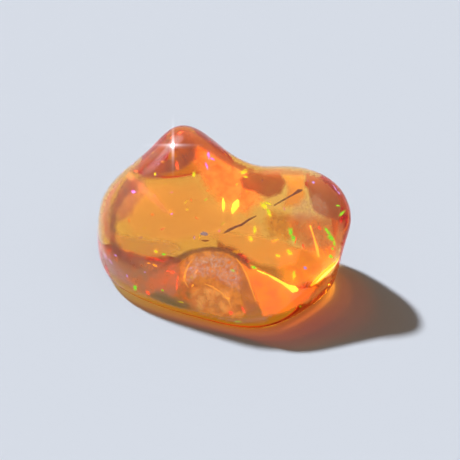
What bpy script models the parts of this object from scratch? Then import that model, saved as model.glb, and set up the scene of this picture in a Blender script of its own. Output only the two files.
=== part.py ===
"""A polished free-form fire opal: one clear orange stone that lies on a flat of its own.

The body is a rounded block of soft faces round a core. It rises to a peak at the back left, dips
to a saddle and swells to a shoulder at the right; a broad sloping face looks up to the front, and
the back leans in towards the flat. Lengths are in millimetres here, and the model is in metres.
"""

import math

import bmesh
import bpy
from mathutils import Vector

MM = 0.001
MESH_STEPS = 5

# How far the stone's flat lies below the core, and how near to it a corner counts as on its rim.
FLAT_DEPTH = 3.72
RIM_SNAP = 0.04

# How tightly the soft faces meet: a higher number gives narrower rounded edges.
EDGE_TIGHTNESS = 11.0

# Each soft face: the way it looks (azimuth from +X towards +Y, elevation) and its distance from the core.
FACES = {
    "window": (-76, 54, 3.05),
    "front_left": (-112, 20, 3.85),
    "front": (-92, 10, 5.4),
    "front_right": (-58, 14, 6.15),
    "right_foot": (-42, -24, 7.8),
    "left_foot": (-124, -16, 6.5),
    "left_corner": (-154, -6, 7.8),
    "left": (180, 2, 7.95),
    "right": (4, -4, 7.5),
    "back_right": (38, -8, 6.5),
    "back": (92, 8, 4.9),
    "back_underside": (72, -40, 4.1),
    "underside": (0, -90, 3.8),
    "saddle": (50, 42, 4.2),
    "left_slope": (-143, 47, 5.3),
    "upper_left": (144, 35, 6.85),
    "crown": (130, 60, 6.0),
}

# Broad swells, and one hollow below zero: direction, height and angular reach.
SWELLS = {
    "peak": (122, 45, 0.95, 18),
    "shoulder": (15, 21, 1.9, 23),
    "right_corner": (4, 16, 0.3, 12),
    "front_scoop": (-104, -6, -0.4, 22),
}


def direction(azimuth, elevation):
    """The unit vector that looks this way, both angles in degrees."""
    a = math.radians(azimuth)
    e = math.radians(elevation)
    return Vector((math.cos(e) * math.cos(a), math.cos(e) * math.sin(a), math.sin(e)))


FACE_NORMALS = [(direction(a, e), distance) for a, e, distance in FACES.values()]
SWELL_CENTRES = [(direction(a, e), height, math.radians(reach)) for a, e, height, reach in SWELLS.values()]


def surface_distance(way):
    """How far the stone's surface lies from the core along the unit vector way, in millimetres."""
    total = sum((max(0.0, way.dot(n)) / distance) ** EDGE_TIGHTNESS for n, distance in FACE_NORMALS)
    reach = total ** (-1.0 / EDGE_TIGHTNESS)
    for centre, height, spread in SWELL_CENTRES:
        reach += height * math.exp(-((way.angle(centre) / spread) ** 2))
    return reach


def cut_flat(bm):
    """Cut the underside level, and close the cut with one flat face."""
    level = -FLAT_DEPTH * MM
    everything = bm.verts[:] + bm.edges[:] + bm.faces[:]
    bmesh.ops.bisect_plane(
        bm,
        geom=everything,
        dist=RIM_SNAP * MM,
        plane_co=(0.0, 0.0, level),
        plane_no=(0.0, 0.0, 1.0),
        clear_inner=True,
    )
    rim = [edge for edge in bm.edges if edge.is_boundary]
    for edge in rim:
        for vertex in edge.verts:
            vertex.co.z = level
    bmesh.ops.holes_fill(bm, edges=rim, sides=0)


def stone_mesh(steps):
    """The stone's closed surface in metres, its box centred over the origin and its flat at z = 0."""
    bm = bmesh.new()
    bmesh.ops.create_icosphere(bm, subdivisions=steps, radius=1.0)
    for vertex in bm.verts:
        way = vertex.co.normalized()
        vertex.co = way * surface_distance(way) * MM
    cut_flat(bm)
    low = [min(v.co[axis] for v in bm.verts) for axis in range(3)]
    high = [max(v.co[axis] for v in bm.verts) for axis in range(3)]
    middle = Vector(((low[0] + high[0]) / 2, (low[1] + high[1]) / 2, low[2]))
    bmesh.ops.translate(bm, verts=bm.verts, vec=-middle)
    mesh = bpy.data.meshes.new("fire_opal")
    bm.to_mesh(mesh)
    bm.free()
    mesh.shade_smooth()
    return mesh


def opal_material():
    """Clear orange: see-through, hardly rough, with opal's low refractive index."""
    material = bpy.data.materials.new("clear_orange_opal")
    material.use_nodes = True
    shader = material.node_tree.nodes["Principled BSDF"]
    shader.inputs["Base Color"].default_value = (0.91, 0.40, 0.07, 1.0)
    shader.inputs["Roughness"].default_value = 0.03
    shader.inputs["Metallic"].default_value = 0.0
    shader.inputs["IOR"].default_value = 1.44
    shader.inputs["Transmission Weight"].default_value = 1.0
    return material


def build():
    for obj in list(bpy.data.objects):
        bpy.data.objects.remove(obj)
    parts = bpy.data.collections.new("fire_opal")
    bpy.context.scene.collection.children.link(parts)
    mesh = stone_mesh(MESH_STEPS)
    mesh.materials.append(opal_material())
    stone = bpy.data.objects.new("fire_opal", mesh)
    parts.objects.link(stone)


build()
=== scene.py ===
import math
import random

import bmesh
import bpy
import numpy as np
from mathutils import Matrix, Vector
from mathutils.bvhtree import BVHTree


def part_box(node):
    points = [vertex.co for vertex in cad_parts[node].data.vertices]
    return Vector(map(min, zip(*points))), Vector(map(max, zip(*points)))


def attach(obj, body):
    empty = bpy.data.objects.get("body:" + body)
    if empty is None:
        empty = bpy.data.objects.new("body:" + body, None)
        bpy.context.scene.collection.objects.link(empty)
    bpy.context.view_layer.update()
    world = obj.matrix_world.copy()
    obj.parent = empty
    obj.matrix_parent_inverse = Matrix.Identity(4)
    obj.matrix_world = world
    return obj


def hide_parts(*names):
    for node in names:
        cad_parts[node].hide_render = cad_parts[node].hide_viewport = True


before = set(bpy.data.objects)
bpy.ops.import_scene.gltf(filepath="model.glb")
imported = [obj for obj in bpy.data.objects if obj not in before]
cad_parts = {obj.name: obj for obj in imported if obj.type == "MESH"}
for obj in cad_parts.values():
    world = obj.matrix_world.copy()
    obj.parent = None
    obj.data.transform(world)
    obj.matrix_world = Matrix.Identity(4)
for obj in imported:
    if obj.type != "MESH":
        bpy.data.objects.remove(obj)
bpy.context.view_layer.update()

# A polished free-form fire opal on a pale table in low sun. Lengths are in millimetres unless a
# name says otherwise, and MM turns them into the scene's metres.
MM = 0.001
SEED = 11

# The stone's surface: soft faces round a core, each with the way it looks (azimuth from +X
# towards +Y, elevation) and its distance from the core, then swells with direction, height and reach.
MESH_STEPS = 7
FLAT_DEPTH = 3.72
RIM_SNAP = 0.02
EDGE_TIGHTNESS = 11.0
FACES = {
    "window": (-76, 54, 3.05),
    "front_left": (-112, 20, 3.85),
    "front": (-92, 10, 5.4),
    "front_right": (-58, 14, 6.15),
    "right_foot": (-42, -24, 7.8),
    "left_foot": (-124, -16, 6.5),
    "left_corner": (-154, -6, 7.8),
    "left": (180, 2, 7.95),
    "right": (4, -4, 7.5),
    "back_right": (38, -8, 6.5),
    "back": (92, 8, 4.9),
    "back_underside": (72, -40, 4.1),
    "underside": (0, -90, 3.8),
    "saddle": (50, 42, 4.2),
    "left_slope": (-143, 47, 5.3),
    "upper_left": (144, 35, 6.85),
    "crown": (130, 60, 6.0),
}
SWELLS = {
    "peak": (122, 45, 0.95, 18),
    "shoulder": (15, 21, 1.9, 23),
    "right_corner": (4, 16, 0.3, 12),
    "front_scoop": (-104, -6, -0.4, 22),
}

# The photograph's view: how high the camera stands, how wide the frame is at the stone, and where
# the frame's centre lies from the core, to the right and up the picture.
VIEW_ELEVATION = 40.0
FRAME_WIDTH = 28.75
FRAME_CENTRE = (0.5, -0.25)
CAMERA_DISTANCE = 250.0
SENSOR_WIDTH = 36.0

# The sun: behind the stone and to its left, with its width in degrees.
SUN_AZIMUTH = 134.0
SUN_ELEVATION = 40.5
SUN_STRENGTH = 3.8
SUN_WIDTH = 3.5
SUN_COLOUR = (0.98, 1.0, 1.04)

# The sky has one tone for lighting, one that the polish mirrors, one that is seen through the stone
# where light turns upwards inside it, and one that the camera sees. The mirrored tone glows round the
# sun: the angles from the sun where the glow starts and is full, and the strength at each.
SKY_COLOUR = (0.96, 0.90, 0.86, 1.0)
SKY_STRENGTH = 0.10
MIRRORED_COLOUR = (0.84, 0.84, 1.0, 1.0)
GLOW_ANGLES = (24, 4)
GLOW_STRENGTHS = (0.75, 4.5)
THROUGH_COLOUR = (0.55, 0.62, 1.0, 1.0)
THROUGH_STRENGTH = 0.95
BACKDROP_COLOUR = (0.71, 0.76, 0.82, 1.0)

# The table top: how far it reaches each way in metres, how far it lies below the stone's flat, its
# colour beside the stone, and a lighter one seen through the stone: painted light for the light that
# the stone gathers onto the table.
TABLE_REACH = 0.6
TABLE_CELLS = 8
TABLE_DROP = 0.003
TABLE_COLOUR = (0.77, 0.81, 0.87, 1.0)
TABLE_PAINTED_LIGHT_THROUGH = (0.98, 0.98, 0.98, 1.0)
TABLE_ROUGHNESS = 0.8
TABLE_SHINE = 0.1

# The stone's clear body: how strongly it absorbs, per metre, the colour that it leaves, its refractive
# index and how rough its polish is.
ABSORPTION = 420.0
BODY_COLOUR = (0.975, 0.72, 0.0, 1.0)
OPAL_IOR = 1.44
OPAL_ROUGHNESS = 0.03
WHITE = (1.0, 1.0, 1.0, 1.0)

# The share of lamp light that leaves the stone at each height in millimetres over the table. It is
# set, not traced. LAMP_TINT_TOP is the height where the ramp ends.
LAMP_TINT_TOP = 10.0
LAMP_TINTS = [
    (0.05, (0.80, 0.62, 0.45)),
    (0.25, (0.66, 0.42, 0.18)),
    (0.7, (0.43, 0.19, 0.02)),
    (1.5, (0.24, 0.11, 0.03)),
    (3.2, (0.11, 0.088, 0.10)),
    (7.0, (0.07, 0.06, 0.07)),
]

# Some walls have a tint of their own. It is not traced either, and where it is above 1 it adds light.
# Walls that look nearly straight down, and how far down they look.
UNDER_TINT = (1.0, 1.3, 1.2, 1.0)
UNDER_FACING = -0.95
# The bright line at the foot of the wall on the right: the heights in millimetres where it starts and
# is full, and how far the wall looks to the right where it starts and is full.
EDGE_LINE_TINT = (3.4, 2.5, 0.5, 1.0)
EDGE_LINE_HEIGHTS = (0.38, 0.24)
EDGE_LINE_FACING = (0.3, 0.8)
# The wall that leans in at the back: which way it looks, and how nearly a face has to look that way.
BEHIND_TINT = (0.55, 0.40, 0.30, 1.0)
BEHIND_WAY = (100.0, -45.0)
BEHIND_FACING = 0.86


def direction(azimuth, elevation):
    """The unit vector that looks this way, both angles in degrees."""
    a = math.radians(azimuth)
    e = math.radians(elevation)
    return Vector((math.cos(e) * math.cos(a), math.cos(e) * math.sin(a), math.sin(e)))


VIEW_WAY = direction(-90.0, VIEW_ELEVATION)
VIEW_UP = direction(90.0, 90.0 - VIEW_ELEVATION)
SUN_WAY = direction(SUN_AZIMUTH, SUN_ELEVATION)


def link(obj):
    """Put a new object into the scene."""
    bpy.context.scene.collection.objects.link(obj)
    return obj


# The stone's shape


def surface_distance(ways):
    """How far the surface lies from the core along each unit vector, in millimetres."""
    total = np.zeros(len(ways))
    for azimuth, elevation, distance in FACES.values():
        facing = ways @ np.array(direction(azimuth, elevation))
        total += (np.maximum(facing, 0.0) / distance) ** EDGE_TIGHTNESS
    reach = total ** (-1.0 / EDGE_TIGHTNESS)
    for azimuth, elevation, height, spread in SWELLS.values():
        facing = np.clip(ways @ np.array(direction(azimuth, elevation)), -1.0, 1.0)
        reach += height * np.exp(-((np.degrees(np.arccos(facing)) / spread) ** 2))
    return reach


def cut_flat(bm):
    """Cut the underside level, and close the cut with one flat face."""
    level = -FLAT_DEPTH * MM
    everything = bm.verts[:] + bm.edges[:] + bm.faces[:]
    bmesh.ops.bisect_plane(
        bm,
        geom=everything,
        dist=RIM_SNAP * MM,
        plane_co=(0.0, 0.0, level),
        plane_no=(0.0, 0.0, 1.0),
        clear_inner=True,
    )
    rim = [edge for edge in bm.edges if edge.is_boundary]
    for edge in rim:
        for vertex in edge.verts:
            vertex.co.z = level
    bmesh.ops.holes_fill(bm, edges=rim, sides=0)
    for edge in rim:
        edge.smooth = False


def make_stone():
    """The fine stone inside the CAD node's box, and where its core lies there."""
    bm = bmesh.new()
    bmesh.ops.create_icosphere(bm, subdivisions=MESH_STEPS, radius=1.0)
    ways = np.array([v.co.normalized()[:] for v in bm.verts])
    places = ways * surface_distance(ways)[:, None] * MM
    for vertex, place in zip(bm.verts, places):
        vertex.co = place
    cut_flat(bm)
    corners = np.array([v.co[:] for v in bm.verts])
    low, high = corners.min(0), corners.max(0)
    cad_low, cad_high = (np.array(corner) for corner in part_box("fire_opal"))
    shrink = float(min(1.0, ((cad_high - cad_low) / (high - low)).min()))
    middle = np.array([(low[0] + high[0]) / 2, (low[1] + high[1]) / 2, low[2]])
    target = np.array([(cad_low[0] + cad_high[0]) / 2, (cad_low[1] + cad_high[1]) / 2, cad_low[2]])
    for vertex in bm.verts:
        vertex.co = (np.array(vertex.co) - middle) * shrink + target
    mesh = bpy.data.meshes.new("opal_body")
    bm.to_mesh(mesh)
    bm.free()
    for face in mesh.polygons:
        face.use_smooth = len(face.vertices) == 3
    return link(bpy.data.objects.new("opal_body", mesh)), Vector(target - middle * shrink)


stone, core = make_stone()
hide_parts("fire_opal")
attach(stone, "root")


# Materials


def new_material(name):
    """A new node material, its tree, its Principled shader and its output."""
    material = bpy.data.materials.new(name)
    material.use_nodes = True
    tree = material.node_tree
    return material, tree, tree.nodes["Principled BSDF"], tree.nodes["Material Output"]


def feed(tree, socket, source):
    """Link a socket to a node's output, or set it to a plain value."""
    if isinstance(source, bpy.types.NodeSocket):
        tree.links.new(source, socket)
    else:
        socket.default_value = source


def calculate(tree, operation, *sources):
    """The result of a Math node on these sources."""
    result = tree.nodes.new("ShaderNodeMath")
    result.operation = operation
    for socket, source in zip(result.inputs, sources):
        feed(tree, socket, source)
    return result.outputs[0]


def facing_share(tree, source, way):
    """How nearly a vector points this way."""
    result = tree.nodes.new("ShaderNodeVectorMath")
    result.operation = "DOT_PRODUCT"
    result.inputs[1].default_value = way
    tree.links.new(source, result.inputs[0])
    return result.outputs["Value"]


def ramp_between(tree, source, low, high, smooth=False):
    """A node whose result rises from 0 to 1 as the source goes from low to high."""
    ramp = tree.nodes.new("ShaderNodeMapRange")
    if smooth:
        ramp.interpolation_type = "SMOOTHSTEP"
    ramp.inputs["From Min"].default_value = low
    ramp.inputs["From Max"].default_value = high
    tree.links.new(source, ramp.inputs["Value"])
    return ramp


def split_vector(tree, source):
    """A vector's X, Y and Z outputs."""
    parts = tree.nodes.new("ShaderNodeSeparateXYZ")
    tree.links.new(source, parts.inputs[0])
    return parts.outputs


def mixed_colour(tree, share, first, second):
    """The first colour at share 0, the second at 1."""
    mix = tree.nodes.new("ShaderNodeMix")
    mix.data_type = "RGBA"
    feed(tree, mix.inputs["Factor"], share)
    feed(tree, mix.inputs["A"], first)
    feed(tree, mix.inputs["B"], second)
    return mix.outputs["Result"]


def mixed_shader(tree, share, first, second):
    """The first shader at share 0, the second at 1."""
    mix = tree.nodes.new("ShaderNodeMixShader")
    for socket, source in zip(mix.inputs, (share, first, second)):
        tree.links.new(source, socket)
    return mix.outputs[0]


def lamp_ramp(tree, height):
    """The share of lamp light that leaves the stone at this height."""
    fade = tree.nodes.new("ShaderNodeValToRGB")
    ramp = fade.color_ramp
    ramp.interpolation = "EASE"
    for level, colour in LAMP_TINTS:
        stop = ramp.elements.new(level / LAMP_TINT_TOP)
        stop.color = (*colour, 1.0)
    ramp.elements.remove(ramp.elements[0])
    ramp.elements.remove(ramp.elements[-1])
    feed(tree, fade.inputs["Fac"], calculate(tree, "MULTIPLY", height, 1.0 / (LAMP_TINT_TOP * MM)))
    return fade.outputs["Color"]


def shadow_tint(tree):
    """What lamp light keeps as it leaves the stone: the ramp by height, and the tints of single walls."""
    height = split_vector(tree, tree.nodes.new("ShaderNodeTexCoord").outputs["Object"])["Z"]
    shape = tree.nodes.new("ShaderNodeNewGeometry")
    normal = shape.outputs["True Normal"]
    facing = split_vector(tree, normal)

    low_wall = ramp_between(tree, height, EDGE_LINE_HEIGHTS[0] * MM, EDGE_LINE_HEIGHTS[1] * MM)
    right_wall = ramp_between(tree, facing["X"], *EDGE_LINE_FACING)
    at_foot = calculate(tree, "MULTIPLY", low_wall.outputs["Result"], right_wall.outputs["Result"])
    tint = mixed_colour(tree, at_foot, lamp_ramp(tree, height), EDGE_LINE_TINT)

    below = calculate(tree, "LESS_THAN", facing["Z"], UNDER_FACING)
    tint = mixed_colour(tree, below, tint, UNDER_TINT)
    backwards = facing_share(tree, normal, direction(*BEHIND_WAY))
    behind = calculate(tree, "GREATER_THAN", backwards, BEHIND_FACING)
    tint = mixed_colour(tree, behind, tint, BEHIND_TINT)
    return mixed_colour(tree, shape.outputs["Backfacing"], tint, WHITE)


def opal_material():
    """Clear, absorbing opal. Lamps shine through it, less from high on the stone than from low."""
    material, tree, shader, output = new_material("clear_orange_opal_visual")
    shader.inputs["Base Color"].default_value = WHITE
    shader.inputs["Roughness"].default_value = OPAL_ROUGHNESS
    shader.inputs["IOR"].default_value = OPAL_IOR
    shader.inputs["Transmission Weight"].default_value = 1.0
    absorb = tree.nodes.new("ShaderNodeVolumeAbsorption")
    absorb.inputs["Color"].default_value = BODY_COLOUR
    absorb.inputs["Density"].default_value = ABSORPTION
    tree.links.new(absorb.outputs["Volume"], output.inputs["Volume"])
    clear = tree.nodes.new("ShaderNodeBsdfTransparent")
    tree.links.new(shadow_tint(tree), clear.inputs["Color"])
    in_shadow = tree.nodes.new("ShaderNodeLightPath").outputs["Is Shadow Ray"]
    surface = mixed_shader(tree, in_shadow, shader.outputs["BSDF"], clear.outputs["BSDF"])
    tree.links.new(surface, output.inputs["Surface"])
    return material


stone.data.materials.append(opal_material())


# What lies inside the stone: needles, threads, colour flashes, and clouds and streaks, some of which
# are painted light and shade. Places are read off the photograph, in its own pixels, and every piece
# sits a stated depth in millimetres under the polished skin that is seen there. Only the small flecks
# are strewn all round instead.

# Where the photograph shows the core, and its scale.
CORE_PIXEL = (222.0, 226.0)
PIXELS_PER_MM = 16.0

# Past the rim, a place moves in towards the core by this share at a time, this many times at most.
RIM_NUDGE = 0.005
RIM_NUDGES = 20

CAMERA_PLACE = (
    core
    + (Vector((FRAME_CENTRE[0], 0.0, 0.0)) + VIEW_UP * FRAME_CENTRE[1]) * MM
    + VIEW_WAY * CAMERA_DISTANCE * MM
)
bpy.context.view_layer.update()
SKIN = BVHTree.FromObject(stone, bpy.context.evaluated_depsgraph_get())


def skin_hit(x, y):
    """Where the skin is seen at a pixel of the photo, with its normal, or None beside the stone."""
    right = (x - CORE_PIXEL[0]) / PIXELS_PER_MM
    up = (CORE_PIXEL[1] - y) / PIXELS_PER_MM
    through = core + (Vector((right, 0.0, 0.0)) + VIEW_UP * up) * MM
    place, normal, _, _ = SKIN.ray_cast(CAMERA_PLACE, (through - CAMERA_PLACE).normalized())
    return None if place is None else (place, normal)


def under_skin(x, y, depth):
    """The point this deep under the skin seen at a pixel, or at the nearest one inwards, and the normal."""
    for step in range(RIM_NUDGES):
        share = RIM_NUDGE * step
        hit = skin_hit(x + (CORE_PIXEL[0] - x) * share, y + (CORE_PIXEL[1] - y) * share)
        if hit is not None:
            place, normal = hit
            return place - normal * depth * MM, normal
    raise ValueError(f"pixel {x}, {y} isn't on the stone")


# The films inside the stone: how rough they are, the noise that grains them, how far it frays their
# edges, the cover at which they start and are full, and the noise levels between which the first
# colour turns into the second.
FILM_ROUGHNESS = 0.9
NOISE_DETAIL = 4.0
NOISE_ROUGHNESS = 0.6
NOISE_DISTORTION = 0.3
FRAYING = 0.8
FILM_COVER = (0.12, 1.0)
COLOUR_LEVELS = (0.4, 0.6)


def film(name, colour, glow):
    """A matt material with light of its own: also its tree, its shader and its piece's cover."""
    material, tree, shader, _ = new_material(name)
    material.surface_render_method = "BLENDED"
    shader.inputs["Base Color"].default_value = (*colour, 1.0)
    shader.inputs["Emission Color"].default_value = (*colour, 1.0)
    shader.inputs["Emission Strength"].default_value = glow
    shader.inputs["Roughness"].default_value = FILM_ROUGHNESS
    shader.inputs["Specular IOR Level"].default_value = 0.0
    cover = tree.nodes.new("ShaderNodeAttribute")
    cover.attribute_name = "cover"
    return material, tree, shader, cover.outputs["Fac"]


def plain_film(name, colour, glow, opacity):
    """A film of one colour that is see-through where the piece's cover fades."""
    material, tree, shader, cover = film(name, colour, glow)
    tree.links.new(calculate(tree, "MULTIPLY", cover, opacity), shader.inputs["Alpha"])
    return material


def film_noise(tree, size):
    """Noise with patches of this size in millimetres."""
    place = tree.nodes.new("ShaderNodeTexCoord")
    noise = tree.nodes.new("ShaderNodeTexNoise")
    noise.inputs["Scale"].default_value = 1.0 / (size * MM)
    noise.inputs["Detail"].default_value = NOISE_DETAIL
    noise.inputs["Roughness"].default_value = NOISE_ROUGHNESS
    noise.inputs["Distortion"].default_value = NOISE_DISTORTION
    tree.links.new(place.outputs["Object"], noise.inputs["Vector"])
    return noise


def grained_film(name, colours, glow, opacity, grain):
    """A film with a frayed edge, whose grain mixes its two colours and thins it in patches."""
    first, second = colours
    size, low, high = grain
    material, tree, shader, cover = film(name, first, glow)
    noise = film_noise(tree, size)
    channels = tree.nodes.new("ShaderNodeSeparateColor")
    tree.links.new(noise.outputs["Color"], channels.inputs["Color"])

    shift = calculate(tree, "MULTIPLY_ADD", channels.outputs["Blue"], FRAYING, -FRAYING / 2)
    frayed = calculate(tree, "ADD", cover, shift)
    edge = ramp_between(tree, frayed, *FILM_COVER, smooth=True)
    alpha = calculate(tree, "MULTIPLY", edge.outputs["Result"], opacity)
    patches = ramp_between(tree, noise.outputs["Fac"], low, high, smooth=True)
    thinned = calculate(tree, "MULTIPLY", alpha, patches.outputs["Result"])
    tree.links.new(thinned, shader.inputs["Alpha"])

    choose = ramp_between(tree, channels.outputs["Green"], *COLOUR_LEVELS)
    tone = mixed_colour(tree, choose.outputs["Result"], (*first, 1.0), (*second, 1.0))
    tree.links.new(tone, shader.inputs["Base Color"])
    tree.links.new(tone, shader.inputs["Emission Color"])
    return material


def inner_piece(name, places, faces, cover, material):
    """A closed body from its corners, with how much each corner covers."""
    mesh = bpy.data.meshes.new(name)
    mesh.from_pydata([tuple(place) for place in places], [], faces)
    mesh.attributes.new("cover", "FLOAT", "POINT").data.foreach_set("value", cover)
    mesh.shade_smooth()
    mesh.materials.append(material)
    piece = link(bpy.data.objects.new(name, mesh))
    piece.visible_shadow = False
    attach(piece, "root")
    return piece


def inside_by(outline, x, y):
    """How far inside an outline a pixel lies, below zero outside."""
    nearest = math.inf
    inside = False
    for (x0, y0), (x1, y1) in zip(outline, outline[1:] + outline[:1]):
        if (y0 > y) != (y1 > y) and x < x0 + (y - y0) * (x1 - x0) / (y1 - y0):
            inside = not inside
        along = ((x - x0) * (x1 - x0) + (y - y0) * (y1 - y0)) / ((x1 - x0) ** 2 + (y1 - y0) ** 2)
        along = min(1.0, max(0.0, along))
        nearest = min(nearest, math.hypot(x - x0 - along * (x1 - x0), y - y0 - along * (y1 - y0)))
    return nearest if inside else -nearest


# How large a cloud's cells are in pixels, and its thickness in millimetres: at its edge, and how much
# more in its middle. Cells stretch where the skin turns away from the photograph's view.
VEIL_STEP = 2.0
VEIL_EDGE = 0.01
VEIL_SWELL = 0.05


def veil_cover(outline, softness, x, y):
    """How much a cloud covers at a pixel, from 0 past its soft edge to 1 within it."""
    share = (inside_by(outline, x, y) + softness) / (2 * softness)
    share = min(1.0, max(0.0, share))
    return share * share * (3 - 2 * share)


def veil_sheets(outline, softness, depth):
    """A cloud's outer and inner corners, their cover, and each corner's number by row and column."""
    xs = [x for x, _ in outline]
    ys = [y for _, y in outline]
    columns = int((max(xs) - min(xs) + 2 * softness) / VEIL_STEP) + 1
    rows = int((max(ys) - min(ys) + 2 * softness) / VEIL_STEP) + 1
    outer, inner, cover, index = [], [], [], {}
    for row in range(rows):
        for column in range(columns):
            x = min(xs) - softness + column * VEIL_STEP
            y = min(ys) - softness + row * VEIL_STEP
            hit = skin_hit(x, y)
            if hit is None:
                continue
            place, normal = hit
            share = veil_cover(outline, softness, x, y)
            corner = place - normal * depth * MM
            index[row, column] = len(outer)
            outer.append(corner)
            inner.append(corner - normal * (VEIL_EDGE + VEIL_SWELL * share) * MM)
            cover.append(share)
    return outer, inner, cover, index


def veil_cells(cover, index):
    """The cells of a cloud that cover anything, as their corners' numbers."""
    cells = []
    for row, column in index:
        corners = [(row, column), (row + 1, column), (row + 1, column + 1), (row, column + 1)]
        if all(corner in index for corner in corners):
            cell = tuple(index[corner] for corner in corners)
            if max(cover[i] for i in cell) > 0.0:
                cells.append(cell)
    return cells


def veil(name, outline, softness, depth, material):
    """A thin lens-shaped cloud that follows the skin, its edge fading over the softness in pixels."""
    outer, inner, cover, index = veil_sheets(outline, softness, depth)
    cells = veil_cells(cover, index)
    edges = dict.fromkeys(edge for cell in cells for edge in zip(cell, cell[1:] + cell[:1]))
    rim = [(i, j) for i, j in edges if (j, i) not in edges]
    for i, j in rim:
        cover[i] = cover[j] = 0.0
    count = len(outer)
    faces = cells + [tuple(i + count for i in reversed(cell)) for cell in cells]
    faces += [(j, i, i + count, j + count) for i, j in rim]
    used = sorted({i for face in faces for i in face})
    renumber = {old: new for new, old in enumerate(used)}
    faces = [tuple(renumber[i] for i in face) for face in faces]
    places = outer + inner
    covers = cover + cover
    return inner_piece(name, [places[i] for i in used], faces, [covers[i] for i in used], material)
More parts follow.
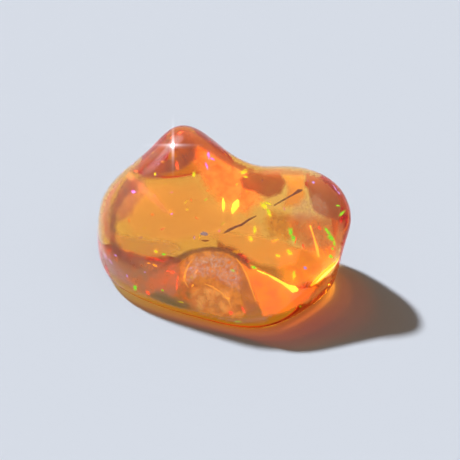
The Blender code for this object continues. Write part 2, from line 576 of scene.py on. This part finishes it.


# Colour clouds: outline in the photo's pixels, softness in pixels, depth, two colours, the opacity of
# each of its two sheets, and the grain: the size of its patches in millimetres, and the noise levels
# where the cloud starts and is full.
# Besides the stone's own haze and frost, some clouds are painted light, painted shade and painted
# reflection, each marked where it stands.
CLOUDS = {
    # Painted reflection: the pale lavender sky mirrored along the left rim.
    "painted_reflection_rim_left": (
        [(95, 205), (99, 192), (104, 196), (102, 215), (102, 240), (106, 256), (99, 254), (95, 236)],
        4.0, 0.10, ((0.60, 0.38, 0.28), (0.62, 0.34, 0.24)), 0.40, (1.0, -0.2, 0.3)),
    # Painted shade: the darker brown edge on the left, where light turns back inside the stone.
    "painted_shade_left_edge": (
        [(104, 196), (112, 180), (122, 170), (128, 168), (118, 184), (109, 200), (107, 220),
         (108, 240), (103, 238), (101, 215)],
        4.0, 0.2, ((0.48, 0.20, 0.12), (0.52, 0.16, 0.09)), 0.56, (1.0, -0.1, 0.4)),
    # Painted shade: the dark band along the left, where light turns back inside the stone.
    "painted_shade_left_band": (
        [(126, 178), (117, 190), (109, 205), (106, 225), (107, 244), (114, 258), (128, 268),
         (142, 270), (134, 262), (122, 254), (115, 243), (113, 226), (117, 208), (124, 196),
         (136, 188), (138, 178)],
        6.5, 0.28, ((0.24, 0.09, 0.06), (0.34, 0.09, 0.05)), 0.64, (0.9, 0.1, 0.45)),
    "patch_left": (
        [(118, 188), (128, 178), (142, 178), (146, 190), (134, 204), (124, 220), (114, 224),
         (113, 206)],
        8.0, 0.34, ((0.52, 0.16, 0.09), (0.40, 0.12, 0.09)), 0.46, (0.7, 0.2, 0.55)),
    # Painted shade: the brownish lower left, where the stone's base is seen in shade.
    "painted_shade_low_left": (
        [(99, 246), (112, 251), (132, 256), (158, 263), (176, 260), (176, 290), (168, 310), (132, 292),
         (110, 276)],
        7.0, 0.3, ((0.46, 0.20, 0.12), (0.62, 0.18, 0.07)), 0.54, (0.7, 0.0, 0.4)),
    # Painted light: a faint orange glow over the clear face, where the sunlit table is seen through the
    # stone.
    "painted_light_window_veil": (
        [(126, 188), (150, 182), (196, 180), (214, 198), (240, 216), (262, 224), (262, 238),
         (236, 232), (205, 238), (170, 244), (130, 236), (118, 214)],
        13.0, 0.5, ((1.15, 0.41, 0.10), (1.05, 0.36, 0.08)), 0.20, (1.6, -0.3, 0.3)),
    # Painted light: the bright orange of the clear face's lower edge, where the sunlit table is seen
    # through.
    "painted_light_window_low": (
        [(104, 234), (125, 236), (150, 241), (168, 242), (178, 250), (166, 258), (146, 258),
         (124, 252), (110, 246)],
        7.0, 0.34, ((0.80, 0.40, 0.07), (0.78, 0.36, 0.07)), 0.78, (1.2, -0.3, 0.2)),
    # Painted light: the bright orange of the clear face on the right, where the sunlit table is seen
    # through.
    "painted_light_window_right": (
        [(212, 235), (232, 232), (256, 235), (284, 241), (300, 249), (296, 262), (280, 267),
         (262, 264), (250, 258), (238, 249), (224, 244)],
        6.0, 0.38, ((0.82, 0.40, 0.065), (0.86, 0.39, 0.055)), 0.80, (1.2, -0.3, 0.2)),
    # Painted reflection: pale lavender sky mirrored low on the left.
    "painted_reflection_low_left": (
        [(97, 252), (108, 256), (120, 270), (132, 286), (124, 284), (108, 272)],
        6.0, 0.12, ((0.48, 0.34, 0.36), (0.46, 0.25, 0.20)), 0.44, (0.9, 0.0, 0.5)),
    "low_orange": (
        [(150, 272), (170, 264), (182, 270), (178, 290), (160, 292), (146, 286)],
        8.0, 0.22, ((0.85, 0.20, 0.05), (0.58, 0.20, 0.08)), 0.46, (0.5, 0.2, 0.55)),
    # Painted shade: the brown under the ridge, where light turns back inside the stone.
    "painted_shade_ridge_inner": (
        [(138, 176), (146, 165), (164, 159), (180, 154), (194, 150), (196, 158), (180, 168),
         (154, 178)],
        6.0, 0.3, ((0.28, 0.085, 0.05), (0.36, 0.085, 0.03)), 0.62, (0.8, 0.1, 0.5)),
    # Painted shade: the brown band along the top edge, where light turns back inside the stone.
    "painted_shade_ridge_back": (
        [(128, 170), (143, 156), (160, 142), (171, 133), (180, 138), (168, 150), (148, 162),
         (134, 173)],
        5.0, 0.2, ((0.30, 0.11, 0.06), (0.42, 0.10, 0.03)), 0.56, (0.8, 0.0, 0.4)),
    # Painted shade: the dark brown peak, front and back, where light turns back inside the stone.
    "painted_shade_peak_front": (
        [(172, 132), (184, 126), (196, 132), (198, 144), (192, 158), (184, 166), (172, 148)],
        7.0, 0.3, ((0.32, 0.065, 0.02), (0.44, 0.09, 0.02)), 0.74, (0.9, -0.1, 0.45)),
    "painted_shade_peak_back": (
        [(188, 129), (204, 138), (221, 150), (240, 161), (258, 169), (250, 173), (230, 164),
         (208, 151), (192, 138)],
        4.0, 0.2, ((0.42, 0.095, 0.02), (0.50, 0.12, 0.03)), 0.60, (1.2, -0.2, 0.3)),
    # Painted light: the orange-red patch of light that the stone focuses onto the table, seen through it.
    "painted_light_upper_red": (
        [(190, 156), (196, 142), (212, 144), (228, 155), (246, 168), (260, 186), (262, 204),
         (246, 212), (228, 206), (212, 192), (200, 172)],
        13.0, 0.4, ((1.15, 0.22, 0.02), (1.1, 0.36, 0.05)), 0.58, (0.7, -0.05, 0.5)),
    # Painted shade: the dark orange blob in the saddle.
    "painted_shade_blob": (
        [(240, 178), (250, 171), (264, 168), (280, 170), (286, 180), (281, 192), (268, 197),
         (254, 190), (244, 187)],
        3.5, 0.34, ((0.42, 0.085, 0.012), (0.46, 0.11, 0.025)), 0.68, (1.6, -0.2, 0.3)),
    "gap_top": (
        [(284, 171), (304, 171), (307, 196), (300, 206), (284, 206), (288, 190)],
        5.0, 0.45, ((0.95, 0.37, 0.03), (0.86, 0.28, 0.04)), 0.50, (1.2, -0.2, 0.3)),
    # Painted shade: the brown shoulder, where light turns back inside the stone.
    "painted_shade_shoulder": (
        [(306, 167), (320, 171), (331, 178), (341, 191), (344, 208), (341, 222), (328, 218),
         (314, 210), (309, 192)],
        3.0, 0.4, ((0.47, 0.125, 0.036), (0.49, 0.155, 0.05)), 0.76, (0.9, -0.2, 0.4)),
    "shoulder_top": (
        [(258, 169), (280, 168), (304, 169), (322, 172), (336, 181), (330, 182), (310, 174),
         (280, 174), (262, 174)],
        3.5, 0.15, ((0.60, 0.24, 0.08), (0.50, 0.17, 0.05)), 0.42, (1.4, -0.2, 0.3)),
    # Painted shade: the deep red on the right, where light turns back inside the stone.
    "painted_shade_right_red": (
        [(288, 216), (304, 214), (326, 216), (342, 222), (343, 242), (338, 260), (320, 254),
         (304, 246), (292, 234)],
        9.0, 0.4, ((0.74, 0.175, 0.025), (0.62, 0.15, 0.03)), 0.54, (0.8, 0.0, 0.5)),
    "mid_olive": (
        [(268, 210), (284, 212), (296, 220), (298, 234), (286, 242), (272, 236), (266, 224)],
        9.0, 0.42, ((0.60, 0.19, 0.008), (0.80, 0.30, 0.012)), 0.55, (0.7, 0.0, 0.5)),
    # Painted light: the bright orange lower right, where the stone focuses sunlight.
    "painted_light_lower_right": (
        [(282, 254), (300, 247), (338, 248), (336, 268), (320, 283), (300, 288), (284, 280),
         (276, 266)],
        9.0, 0.4, ((1.05, 0.40, 0.012), (1.0, 0.32, 0.02)), 0.58, (0.9, -0.1, 0.4)),
    # Painted sheen: the bright orange-red face at the lower right.
    "facet": (
        [(240, 262), (250, 263), (272, 276), (298, 291), (318, 288), (310, 303), (282, 316),
         (264, 319)],
        3.0, 0.35, ((1.15, 0.35, 0.03), (0.98, 0.28, 0.045)), 0.66, (0.9, -0.2, 0.3)),
    "right_foot": (
        [(302, 302), (318, 290), (332, 276), (341, 262), (343, 268), (334, 286), (318, 298),
         (306, 306)],
        4.0, 0.15, ((0.66, 0.25, 0.05), (0.50, 0.19, 0.06)), 0.55, (1.0, -0.2, 0.3)),
    "right_rim": (
        [(340, 222), (345, 224), (344, 246), (340, 258), (335, 250), (337, 236)],
        4.0, 0.15, ((0.74, 0.30, 0.08), (0.62, 0.22, 0.07)), 0.50, (1.0, -0.2, 0.3)),
    "dome": (
        [(166, 304), (166, 284), (174, 267), (189, 255), (208, 250), (228, 251), (243, 260),
         (251, 280), (259, 308), (240, 320), (200, 320), (174, 312)],
        4.0, 0.5, ((0.78, 0.32, 0.04), (0.54, 0.18, 0.025)), 0.64, (0.5, -0.1, 0.4)),
    "dome_low": (
        [(192, 292), (208, 286), (226, 292), (232, 304), (222, 312), (200, 312), (190, 304)],
        9.0, 0.3, ((0.90, 0.50, 0.14), (0.62, 0.26, 0.05)), 0.50, (0.5, 0.1, 0.55)),
    "dome_brown": (
        [(168, 290), (176, 282), (190, 284), (192, 296), (204, 312), (190, 316), (172, 308)],
        7.0, 0.35, ((0.30, 0.14, 0.03), (0.62, 0.17, 0.02)), 0.56, (0.5, 0.1, 0.5)),
    "dark_green": (
        [(148, 296), (160, 293), (176, 298), (188, 308), (180, 313), (160, 306)],
        6.0, 0.2, ((0.13, 0.12, 0.04), (0.22, 0.15, 0.04)), 0.60, (0.6, 0.0, 0.5)),
    "wedge": (
        [(237, 262), (243, 266), (252, 288), (261, 316), (247, 318), (240, 298)],
        4.0, 0.33, ((0.58, 0.21, 0.03), (0.46, 0.17, 0.05)), 0.55, (0.8, -0.1, 0.4)),
    # Painted shade: the brown band along the bottom rim, the shaded table seen through it.
    "foot": (
        [(150, 302), (190, 315), (235, 321), (268, 317), (268, 322), (235, 328), (190, 322),
         (150, 308)],
        4.0, 0.15, ((0.44, 0.19, 0.10), (0.52, 0.20, 0.08)), 0.50, (0.8, -0.1, 0.4)),
    "foot_left": (
        [(104, 270), (118, 282), (134, 293), (152, 303), (150, 308), (132, 298), (114, 286),
         (102, 276)],
        4.0, 0.12, ((0.50, 0.27, 0.18), (0.54, 0.22, 0.12)), 0.46, (0.8, -0.1, 0.4)),
    # Painted shade: the dark line where the clear face's view through to the table ends.
    "arc": (
        [(148, 273), (160, 268), (174, 258), (190, 251), (208, 247.5), (228, 248.5), (244, 257),
         (253, 268), (250, 270), (240, 261), (226, 252.5), (208, 251.5), (192, 255), (176, 263),
         (162, 272), (149, 276)],
        2.6, 0.28, ((0.26, 0.085, 0.025), (0.36, 0.12, 0.03)), 0.60, (1.0, -0.2, 0.4)),
    "frost_dome": (
        [(184, 268), (196, 257), (216, 254), (234, 261), (241, 276), (238, 290), (226, 286),
         (214, 276), (198, 276), (186, 284)],
        8.0, 0.12, ((0.86, 0.60, 0.50), (0.74, 0.38, 0.22)), 0.52, (0.2, 0.3, 0.75)),
    "frost_shoulder": (
        [(290, 208), (304, 198), (318, 194), (328, 206), (326, 216), (306, 220), (292, 217)],
        8.0, 0.12, ((0.76, 0.42, 0.26), (0.72, 0.36, 0.20)), 0.50, (0.16, 0.25, 0.8)),
    "edge_streak": (
        [(118, 167), (126, 169), (142, 184), (160, 202), (169, 214), (162, 212), (146, 196),
         (130, 182)],
        5.0, 0.3, ((1.0, 0.34, 0.13), (0.95, 0.36, 0.10)), 0.36, (1.0, -0.2, 0.4)),
}
CLOUD_GLOW = 0.64


def clouds():
    """Every colour cloud, each with a material of its own."""
    for name, (outline, softness, depth, colours, opacity, grain) in CLOUDS.items():
        paint = grained_film("cloud_" + name, colours, CLOUD_GLOW, opacity, grain)
        veil("cloud_" + name, outline, softness, depth, paint)


clouds()


# Thin lines: needles, threads and streaks. Each has the pixels along it, its half width in pixels at
# each of them, and its depth. A line has this many sides, and this share of its width as thickness.
STRAND_SIDES = 8
STRAND_FLATNESS = 0.6


def strand(name, line, widths, depth, material):
    """A thin flattened thread through these pixels that follows the skin at one depth."""
    sides = STRAND_SIDES
    places, faces = [], []
    centres = [under_skin(x, y, depth) for x, y in line]
    for i, (centre, normal) in enumerate(centres):
        before = centres[max(0, i - 1)][0]
        after = centres[min(len(centres) - 1, i + 1)][0]
        along = (after - before).normalized()
        across = normal.cross(along).normalized()
        width = widths[i] / PIXELS_PER_MM * MM
        for side in range(sides):
            turn = 2 * math.pi * side / sides
            rise = normal * math.sin(turn) * width * STRAND_FLATNESS
            places.append(centre + across * math.cos(turn) * width + rise)
    for i in range(len(centres) - 1):
        for side in range(sides):
            a = i * sides + side
            b = i * sides + (side + 1) % sides
            faces.append((a, b, b + sides, a + sides))
    last = (len(centres) - 1) * sides
    faces.append(tuple(reversed(range(sides))))
    faces.append(tuple(range(last, last + sides)))
    return inner_piece(name, places, faces, [1.0] * len(places), material)


needle_paint = plain_film("needle", (0.24, 0.07, 0.06), 0.3, 0.62)
strand("needle_low", [(224, 232.5), (229, 229.5), (236, 226), (242, 224), (249, 219), (257, 215)],
       [0.5, 1.5, 1.1, 1.2, 1.0, 0.5], 0.3, needle_paint)
strand("needle_high", [(274, 205), (281, 201), (288, 197), (294, 193.5), (299, 190), (303, 189)],
       [0.5, 0.9, 0.8, 1.0, 1.9, 0.6], 0.3, needle_paint)
strand("needle_dash", [(201, 241), (205, 241.4), (209, 240.8)], [0.4, 0.9, 0.4], 0.3,
       plain_film("needle_dash", (0.30, 0.07, 0.02), 0.5, 0.7))
strand("needle_dot", [(200, 234), (203, 233.4), (206, 233.8), (208, 234.6)], [0.6, 1.9, 1.7, 0.5], 0.3,
       plain_film("needle_dot", (0.30, 0.23, 0.30), 0.7, 0.6))

# Streak paint glows bright yellow; on the facet streak below it is painted light that the stone focuses.
streak_paint = plain_film("streak", (1.0, 0.66, 0.05), 1.25, 0.95)
thread_paint = plain_film("thread", (1.0, 0.46, 0.04), 0.8, 0.34)
strand("thread_left", [(192, 260), (188, 266), (185, 273), (184, 281), (188, 288)],
       [0.3, 0.7, 0.9, 0.7, 0.3], 0.1, thread_paint)
strand("thread_low", [(204, 284), (212, 287), (221, 293), (228, 300), (231, 308)],
       [0.3, 0.8, 0.6, 0.8, 0.3], 0.1, thread_paint)
strand("thread_right", [(236, 258), (242, 266), (247, 276), (251, 288), (256, 302)],
       [0.3, 0.7, 0.9, 0.7, 0.3], 0.1, thread_paint)
# Painted light: the bright line along the lower right edge and its halo, where the stone focuses sunlight.
painted_light_hot_paint = plain_film("painted_light_hot", (1.0, 0.80, 0.26), 1.5, 1.0)
strand("painted_light_facet_streak",
       [(257, 270), (264, 273), (268, 274.5), (276, 279), (283, 283), (289, 287), (295, 290), (299, 291)],
       [0.3, 0.9, 0.5, 1.3, 1.2, 1.8, 3.6, 1.4], 0.2, streak_paint)
strand("painted_light_edge_halo", [(312, 287), (319, 281), (326, 275), (332, 269), (337, 263), (341, 256)],
       [1.0, 3.6, 4.4, 3.6, 2.4, 0.8], 0.26, plain_film("painted_light_halo", (1.0, 0.52, 0.03), 1.0, 0.55))
strand("painted_light_edge_streak", [(317, 284), (322, 279), (327, 274.5), (332, 270), (336, 265.5), (340, 259)],
       [0.4, 1.4, 2.0, 1.5, 1.1, 0.4], 0.2, painted_light_hot_paint)
strand("streak_thin", [(310.5, 225), (313, 232), (315.5, 240), (318, 248), (320, 257)],
       [0.8, 0.6, 0.8, 1.5, 0.8], 0.3, plain_film("streak_thin", (1.0, 0.42, 0.04), 1.2, 0.9))
strand("streak_spot_left", [(223.5, 197), (224, 202), (224, 207), (223.5, 211)],
       [0.4, 1.6, 1.4, 0.4], 0.3, streak_paint)
strand("streak_spot_right", [(238.5, 199), (236.5, 204), (234, 209), (232.5, 213)],
       [1.2, 3.4, 2.4, 0.5], 0.3, streak_paint)


# Colour flashes: thin flakes in families of two like colours. Each is (x, y, half length, half width,
# turn), in pixels and degrees.
FLASHES = {
    "magenta": (((0.95, 0.16, 0.80), (0.70, 0.30, 0.85)), [
        (120, 171, 3.4, 2.4, 10), (209, 154, 1.6, 3.2, 5), (207, 165, 3.2, 1.2, 80),
        (213, 158, 2.0, 1.4, 30), (132, 191, 3.0, 1.6, 40), (171, 214, 1.0, 1.0, 0)]),
    "violet": (((0.42, 0.22, 0.70), (0.60, 0.34, 0.62)), [
        (127, 160, 2.2, 3.4, 0), (336, 187, 3.0, 1.5, 60), (340, 192, 2.2, 1.3, 50),
        (104, 256, 4.5, 3.2, 60), (109, 262, 3.0, 2.2, 20), (314, 181, 2.0, 1.2, 30),
        (114, 256, 1.8, 1.2, 0), (144, 273, 1.2, 0.8, 0), (126, 277, 1.6, 1.0, 40),
        (306, 268, 2.0, 1.4, 0)]),
    "green": (((0.16, 0.66, 0.02), (0.42, 0.70, 0.02)), [
        (134, 289, 2.8, 2.6, 0), (328, 231, 4.5, 2.0, 55), (332, 238, 4.2, 2.4, 58),
        (336, 244, 3.4, 1.6, 55), (343, 213, 3.4, 1.8, -35), (291, 231, 2.6, 3.6, 10),
        (294, 238, 4.4, 1.6, 80), (254, 267, 2.6, 1.8, 20), (238, 323, 3.0, 1.4, 0),
        (161.5, 291, 1.4, 1.2, 0), (332, 257, 2.4, 2.2, 20), (334, 249, 1.4, 1.4, 0),
        (163, 255, 2.6, 1.0, -10), (339, 205, 2.4, 0.9, 10), (232, 271, 1.8, 1.4, 20)]),
    "lime": (((0.55, 0.62, 0.01), (0.90, 0.70, 0.02)), [
        (118, 166, 1.6, 1.6, 0), (194, 174, 1.4, 4.0, 10), (245, 170, 4.2, 2.2, -15),
        (290, 252, 3.4, 2.2, 10), (255, 229, 1.6, 4.6, -12), (251, 238, 2.6, 2.4, 0),
        (264, 205, 5.0, 2.2, 40), (269, 212, 3.8, 2.4, 70), (268, 203, 3.0, 1.6, 30),
        (155, 252, 2.0, 1.6, 0), (278, 255, 2.2, 1.6, 0), (295, 275, 2.2, 3.4, 10),
        (154, 173, 1.6, 1.4, 0), (246, 176, 2.6, 1.2, 20), (152, 152, 1.2, 0.8, 0),
        (180, 303, 2.8, 1.0, 10)]),
    "gold": (((1.0, 0.50, 0.02), (1.0, 0.30, 0.03)), [
        (154, 266, 2.6, 1.4, 35), (148, 264, 1.6, 0.8, 0), (227, 299, 2.2, 0.9, 0),
        (275, 240, 4.4, 0.9, -20), (196, 272, 2.6, 1.0, -60), (250, 237, 1.8, 1.0, -30),
        (100, 245, 2.0, 2.4, 0), (170, 212, 1.4, 1.6, 0), (192, 286, 2.4, 0.8, -45),
        (184, 277, 1.2, 2.0, 30)]),
    "red": (((1.0, 0.09, 0.03), (0.95, 0.18, 0.04)), [
        (177, 165, 1.8, 4.0, 8), (147, 294, 2.0, 3.4, -20), (172, 273, 3.4, 1.2, 15),
        (177, 279, 1.2, 3.0, 10), (176, 286, 1.2, 4.2, 0), (243, 311, 1.6, 4.0, -30),
        (230, 314, 2.8, 1.6, 10), (167, 272, 1.4, 0.8, 0), (135, 170, 2.8, 1.6, 40),
        (296, 240, 1.0, 3.4, 10), (304, 246, 1.0, 3.0, -10), (320, 228, 1.2, 2.6, -25),
        (180, 131, 3.8, 1.6, -40), (171, 136, 2.6, 1.2, -38)]),
}

# A flake: the corners round it, its rings from the outside in (size and cover), its depth and
# thickness in millimetres, how far its rim strays from an ellipse, and its grain, glow and opacity.
FLAKE_RIM = 14
FLAKE_RINGS = ((1.6, 0.0), (1.0, 0.35), (0.5, 1.0))
FLAKE_DEPTH = 0.22
FLAKE_THICKNESS = 0.03
FLAKE_RAGGEDNESS = 0.25
FLAKE_GRAIN = (0.14, 0.15, 0.55)
FLAKE_GLOW = 0.95
FLAKE_OPACITY = 0.85

# The flecks strewn all round: how many of each family, the elevations that they lie at, how deep and
# how long they are in millimetres, and their width as a share of their length.
FLECK_COUNTS = {"magenta": 10, "violet": 12, "green": 24, "lime": 30, "gold": 24, "red": 10}
FLECK_ELEVATIONS = (-30.0, 80.0)
FLECK_DEPTHS = (0.25, 1.2)
FLECK_HALF_LENGTHS = (0.04, 0.14)
FLECK_WIDTHS = (0.3, 0.8)
FLECK_GLOW = 1.0
FLECK_OPACITY = 0.4

# A distance from the core that is well outside the stone.
OUTSIDE = 30.0


def add_flake(body, chance, centre, normal, half_length, half_width, turn):
    """Put one ragged closed flake, sizes in millimetres, into a body of places, covers and faces."""
    places, cover, faces = body
    across = Vector((1.0, 0.0, 0.0)) - normal * normal.x
    across.normalize()
    upward = normal.cross(across)
    lobe = chance.uniform(0.0, 2.0 * math.pi)
    start = len(places)
    for ring, share in FLAKE_RINGS:
        for k in range(FLAKE_RIM):
            angle = 2.0 * math.pi * k / FLAKE_RIM
            ragged = 1.0 + FLAKE_RAGGEDNESS * math.sin(2.0 * angle + lobe)
            ragged += chance.uniform(-FLAKE_RAGGEDNESS, FLAKE_RAGGEDNESS)
            u = half_length * math.cos(angle) * ring * ragged
            v = half_width * math.sin(angle) * ring * ragged
            sideways = across * (u * math.cos(turn) - v * math.sin(turn))
            upwards = upward * (u * math.sin(turn) + v * math.cos(turn))
            places.append(centre + (sideways + upwards) * MM)
            cover.append(share)
    places.extend((centre, centre - normal * FLAKE_THICKNESS * MM))
    cover.extend((1.0, 1.0))
    for ring in range(len(FLAKE_RINGS) - 1):
        for k in range(FLAKE_RIM):
            a = start + ring * FLAKE_RIM + k
            b = start + ring * FLAKE_RIM + (k + 1) % FLAKE_RIM
            faces.append((a, b, b + FLAKE_RIM, a + FLAKE_RIM))
    middle = start + len(FLAKE_RINGS) * FLAKE_RIM
    for k in range(FLAKE_RIM):
        after = (k + 1) % FLAKE_RIM
        faces.append((middle - FLAKE_RIM + k, middle - FLAKE_RIM + after, middle))
        faces.append((start + after, start + k, middle + 1))


def flakes(name, colours, spots):
    """The colour flashes that are read off the photo, one family in one piece."""
    chance = random.Random(SEED + len(name) + len(spots))
    body = ([], [], [])
    for x, y, half_length, half_width, turn in spots:
        centre, normal = under_skin(x, y, FLAKE_DEPTH)
        sizes = (half_length / PIXELS_PER_MM, half_width / PIXELS_PER_MM)
        add_flake(body, chance, centre, normal, *sizes, math.radians(-turn))
    places, cover, faces = body
    paint = grained_film(name, colours, FLAKE_GLOW, FLAKE_OPACITY, FLAKE_GRAIN)
    inner_piece(name, places, faces, cover, paint)


def flecks(name, colours, count, seed):
    """Small faint flecks of one family, strewn all round under the skin."""
    chance = random.Random(seed)
    body = ([], [], [])
    for _ in range(count):
        way = direction(chance.uniform(-180.0, 180.0), chance.uniform(*FLECK_ELEVATIONS))
        place, normal, _, _ = SKIN.ray_cast(core + way * OUTSIDE * MM, -way)
        depth = chance.uniform(*FLECK_DEPTHS)
        half_length = chance.uniform(*FLECK_HALF_LENGTHS)
        half_width = half_length * chance.uniform(*FLECK_WIDTHS)
        centre = place - normal * depth * MM
        add_flake(body, chance, centre, normal, half_length, half_width, chance.uniform(0.0, math.pi))
    places, cover, faces = body
    paint = grained_film(name, colours, FLECK_GLOW, FLECK_OPACITY, FLAKE_GRAIN)
    inner_piece(name, places, faces, cover, paint)


for number, (family, (colours, spots)) in enumerate(FLASHES.items()):
    flakes("flash_" + family, colours, spots)
    flecks("fleck_" + family, colours, FLECK_COUNTS[family], SEED + number)


# Floor, light and camera


def floor():
    """A pale matt table top, far larger than the view, painted lighter where it is seen through the stone.
    """
    bm = bmesh.new()
    bmesh.ops.create_grid(bm, x_segments=TABLE_CELLS, y_segments=TABLE_CELLS, size=TABLE_REACH)
    mesh = bpy.data.meshes.new("table_top")
    bm.to_mesh(mesh)
    bm.free()
    top = link(bpy.data.objects.new("table_top", mesh))
    top.location.z = -TABLE_DROP * MM
    material, tree, shader, _ = new_material("table_top")
    # Rays through the stone see the lighter table colour: painted light.
    through = tree.nodes.new("ShaderNodeLightPath").outputs["Is Transmission Ray"]
    tone = mixed_colour(tree, through, TABLE_COLOUR, TABLE_PAINTED_LIGHT_THROUGH)
    tree.links.new(tone, shader.inputs["Base Color"])
    shader.inputs["Roughness"].default_value = TABLE_ROUGHNESS
    shader.inputs["Specular IOR Level"].default_value = TABLE_SHINE
    mesh.materials.append(material)


def sunlight():
    """Low sun from behind."""
    sun = bpy.data.lights.new("sun", "SUN")
    sun.energy = SUN_STRENGTH
    sun.color = SUN_COLOUR
    sun.angle = math.radians(SUN_WIDTH)
    holder = link(bpy.data.objects.new("sun", sun))
    holder.rotation_euler = SUN_WAY.to_track_quat("Z", "Y").to_euler()


def background(tree, colour, strength=1.0):
    """A sky of one colour."""
    sky = tree.nodes.new("ShaderNodeBackground")
    sky.inputs["Color"].default_value = colour
    feed(tree, sky.inputs["Strength"], strength)
    return sky.outputs[0]


def sun_glow(tree):
    """How strong the mirrored sky is: more towards the sun."""
    place = tree.nodes.new("ShaderNodeTexCoord")
    towards_sun = facing_share(tree, place.outputs["Generated"], SUN_WAY)
    start, full = (math.cos(math.radians(angle)) for angle in GLOW_ANGLES)
    glow = ramp_between(tree, towards_sun, start, full, smooth=True)
    glow.inputs["To Min"].default_value = GLOW_STRENGTHS[0]
    glow.inputs["To Max"].default_value = GLOW_STRENGTHS[1]
    return glow.outputs["Result"]


def sky():
    """A pale sky, with other tones where it is mirrored, seen through the stone or seen directly."""
    world = bpy.data.worlds.new("sky")
    bpy.context.scene.world = world
    world.use_nodes = True
    tree = world.node_tree
    path = tree.nodes.new("ShaderNodeLightPath").outputs
    lighting = tree.nodes["Background"]
    lighting.inputs["Color"].default_value = SKY_COLOUR
    lighting.inputs["Strength"].default_value = SKY_STRENGTH
    mirrored = background(tree, MIRRORED_COLOUR, sun_glow(tree))
    seen_through = background(tree, THROUGH_COLOUR, THROUGH_STRENGTH)
    backdrop = background(tree, BACKDROP_COLOUR)
    tone = mixed_shader(tree, path["Is Glossy Ray"], lighting.outputs[0], mirrored)
    tone = mixed_shader(tree, path["Is Transmission Ray"], tone, seen_through)
    tone = mixed_shader(tree, path["Is Camera Ray"], tone, backdrop)
    tree.links.new(tone, tree.nodes["World Output"].inputs["Surface"])


def camera():
    """A long lens at the photograph's viewing angle."""
    data = bpy.data.cameras.new("camera")
    data.sensor_width = SENSOR_WIDTH
    data.lens = SENSOR_WIDTH * CAMERA_DISTANCE / FRAME_WIDTH
    data.clip_start = 0.01
    data.clip_end = 10.0
    holder = link(bpy.data.objects.new("camera", data))
    holder.location = CAMERA_PLACE
    holder.rotation_euler = VIEW_WAY.to_track_quat("Z", "Y").to_euler()
    bpy.context.scene.camera = holder


# The star on the peak: how bright the picture has to be for rays to start, then their strength,
# number, passes, how slowly they fade and how much they are coloured.
STAR_THRESHOLD = 1.02
STAR_STRENGTH = 0.75
STAR_RAYS = 4
STAR_PASSES = 2
STAR_FADE = 0.6
STAR_COLOURING = 0.1


def star():
    """Fine rays round the sun's mirror image on the polish, drawn on the finished picture."""
    scene = bpy.context.scene
    scene.use_nodes = True
    tree = scene.node_tree
    tree.nodes.clear()
    layers = tree.nodes.new("CompositorNodeRLayers")
    rays = tree.nodes.new("CompositorNodeGlare")
    rays.glare_type = "STREAKS"
    rays.inputs["Threshold"].default_value = STAR_THRESHOLD
    rays.inputs["Strength"].default_value = STAR_STRENGTH
    rays.inputs["Streaks"].default_value = STAR_RAYS
    rays.inputs["Iterations"].default_value = STAR_PASSES
    rays.inputs["Fade"].default_value = STAR_FADE
    rays.inputs["Color Modulation"].default_value = STAR_COLOURING
    out = tree.nodes.new("CompositorNodeComposite")
    tree.links.new(layers.outputs["Image"], rays.inputs["Image"])
    tree.links.new(rays.outputs["Image"], out.inputs["Image"])


def light_paths():
    """Enough bounces to cross the stone and its films, and no caustics."""
    cycles = bpy.context.scene.cycles
    cycles.caustics_refractive = False
    cycles.caustics_reflective = False
    cycles.max_bounces = 16
    cycles.transmission_bounces = 16
    cycles.glossy_bounces = 12
    cycles.transparent_max_bounces = 32


floor()
sunlight()
sky()
camera()
star()
light_paths()
bpy.context.scene.view_settings.view_transform = "Standard"
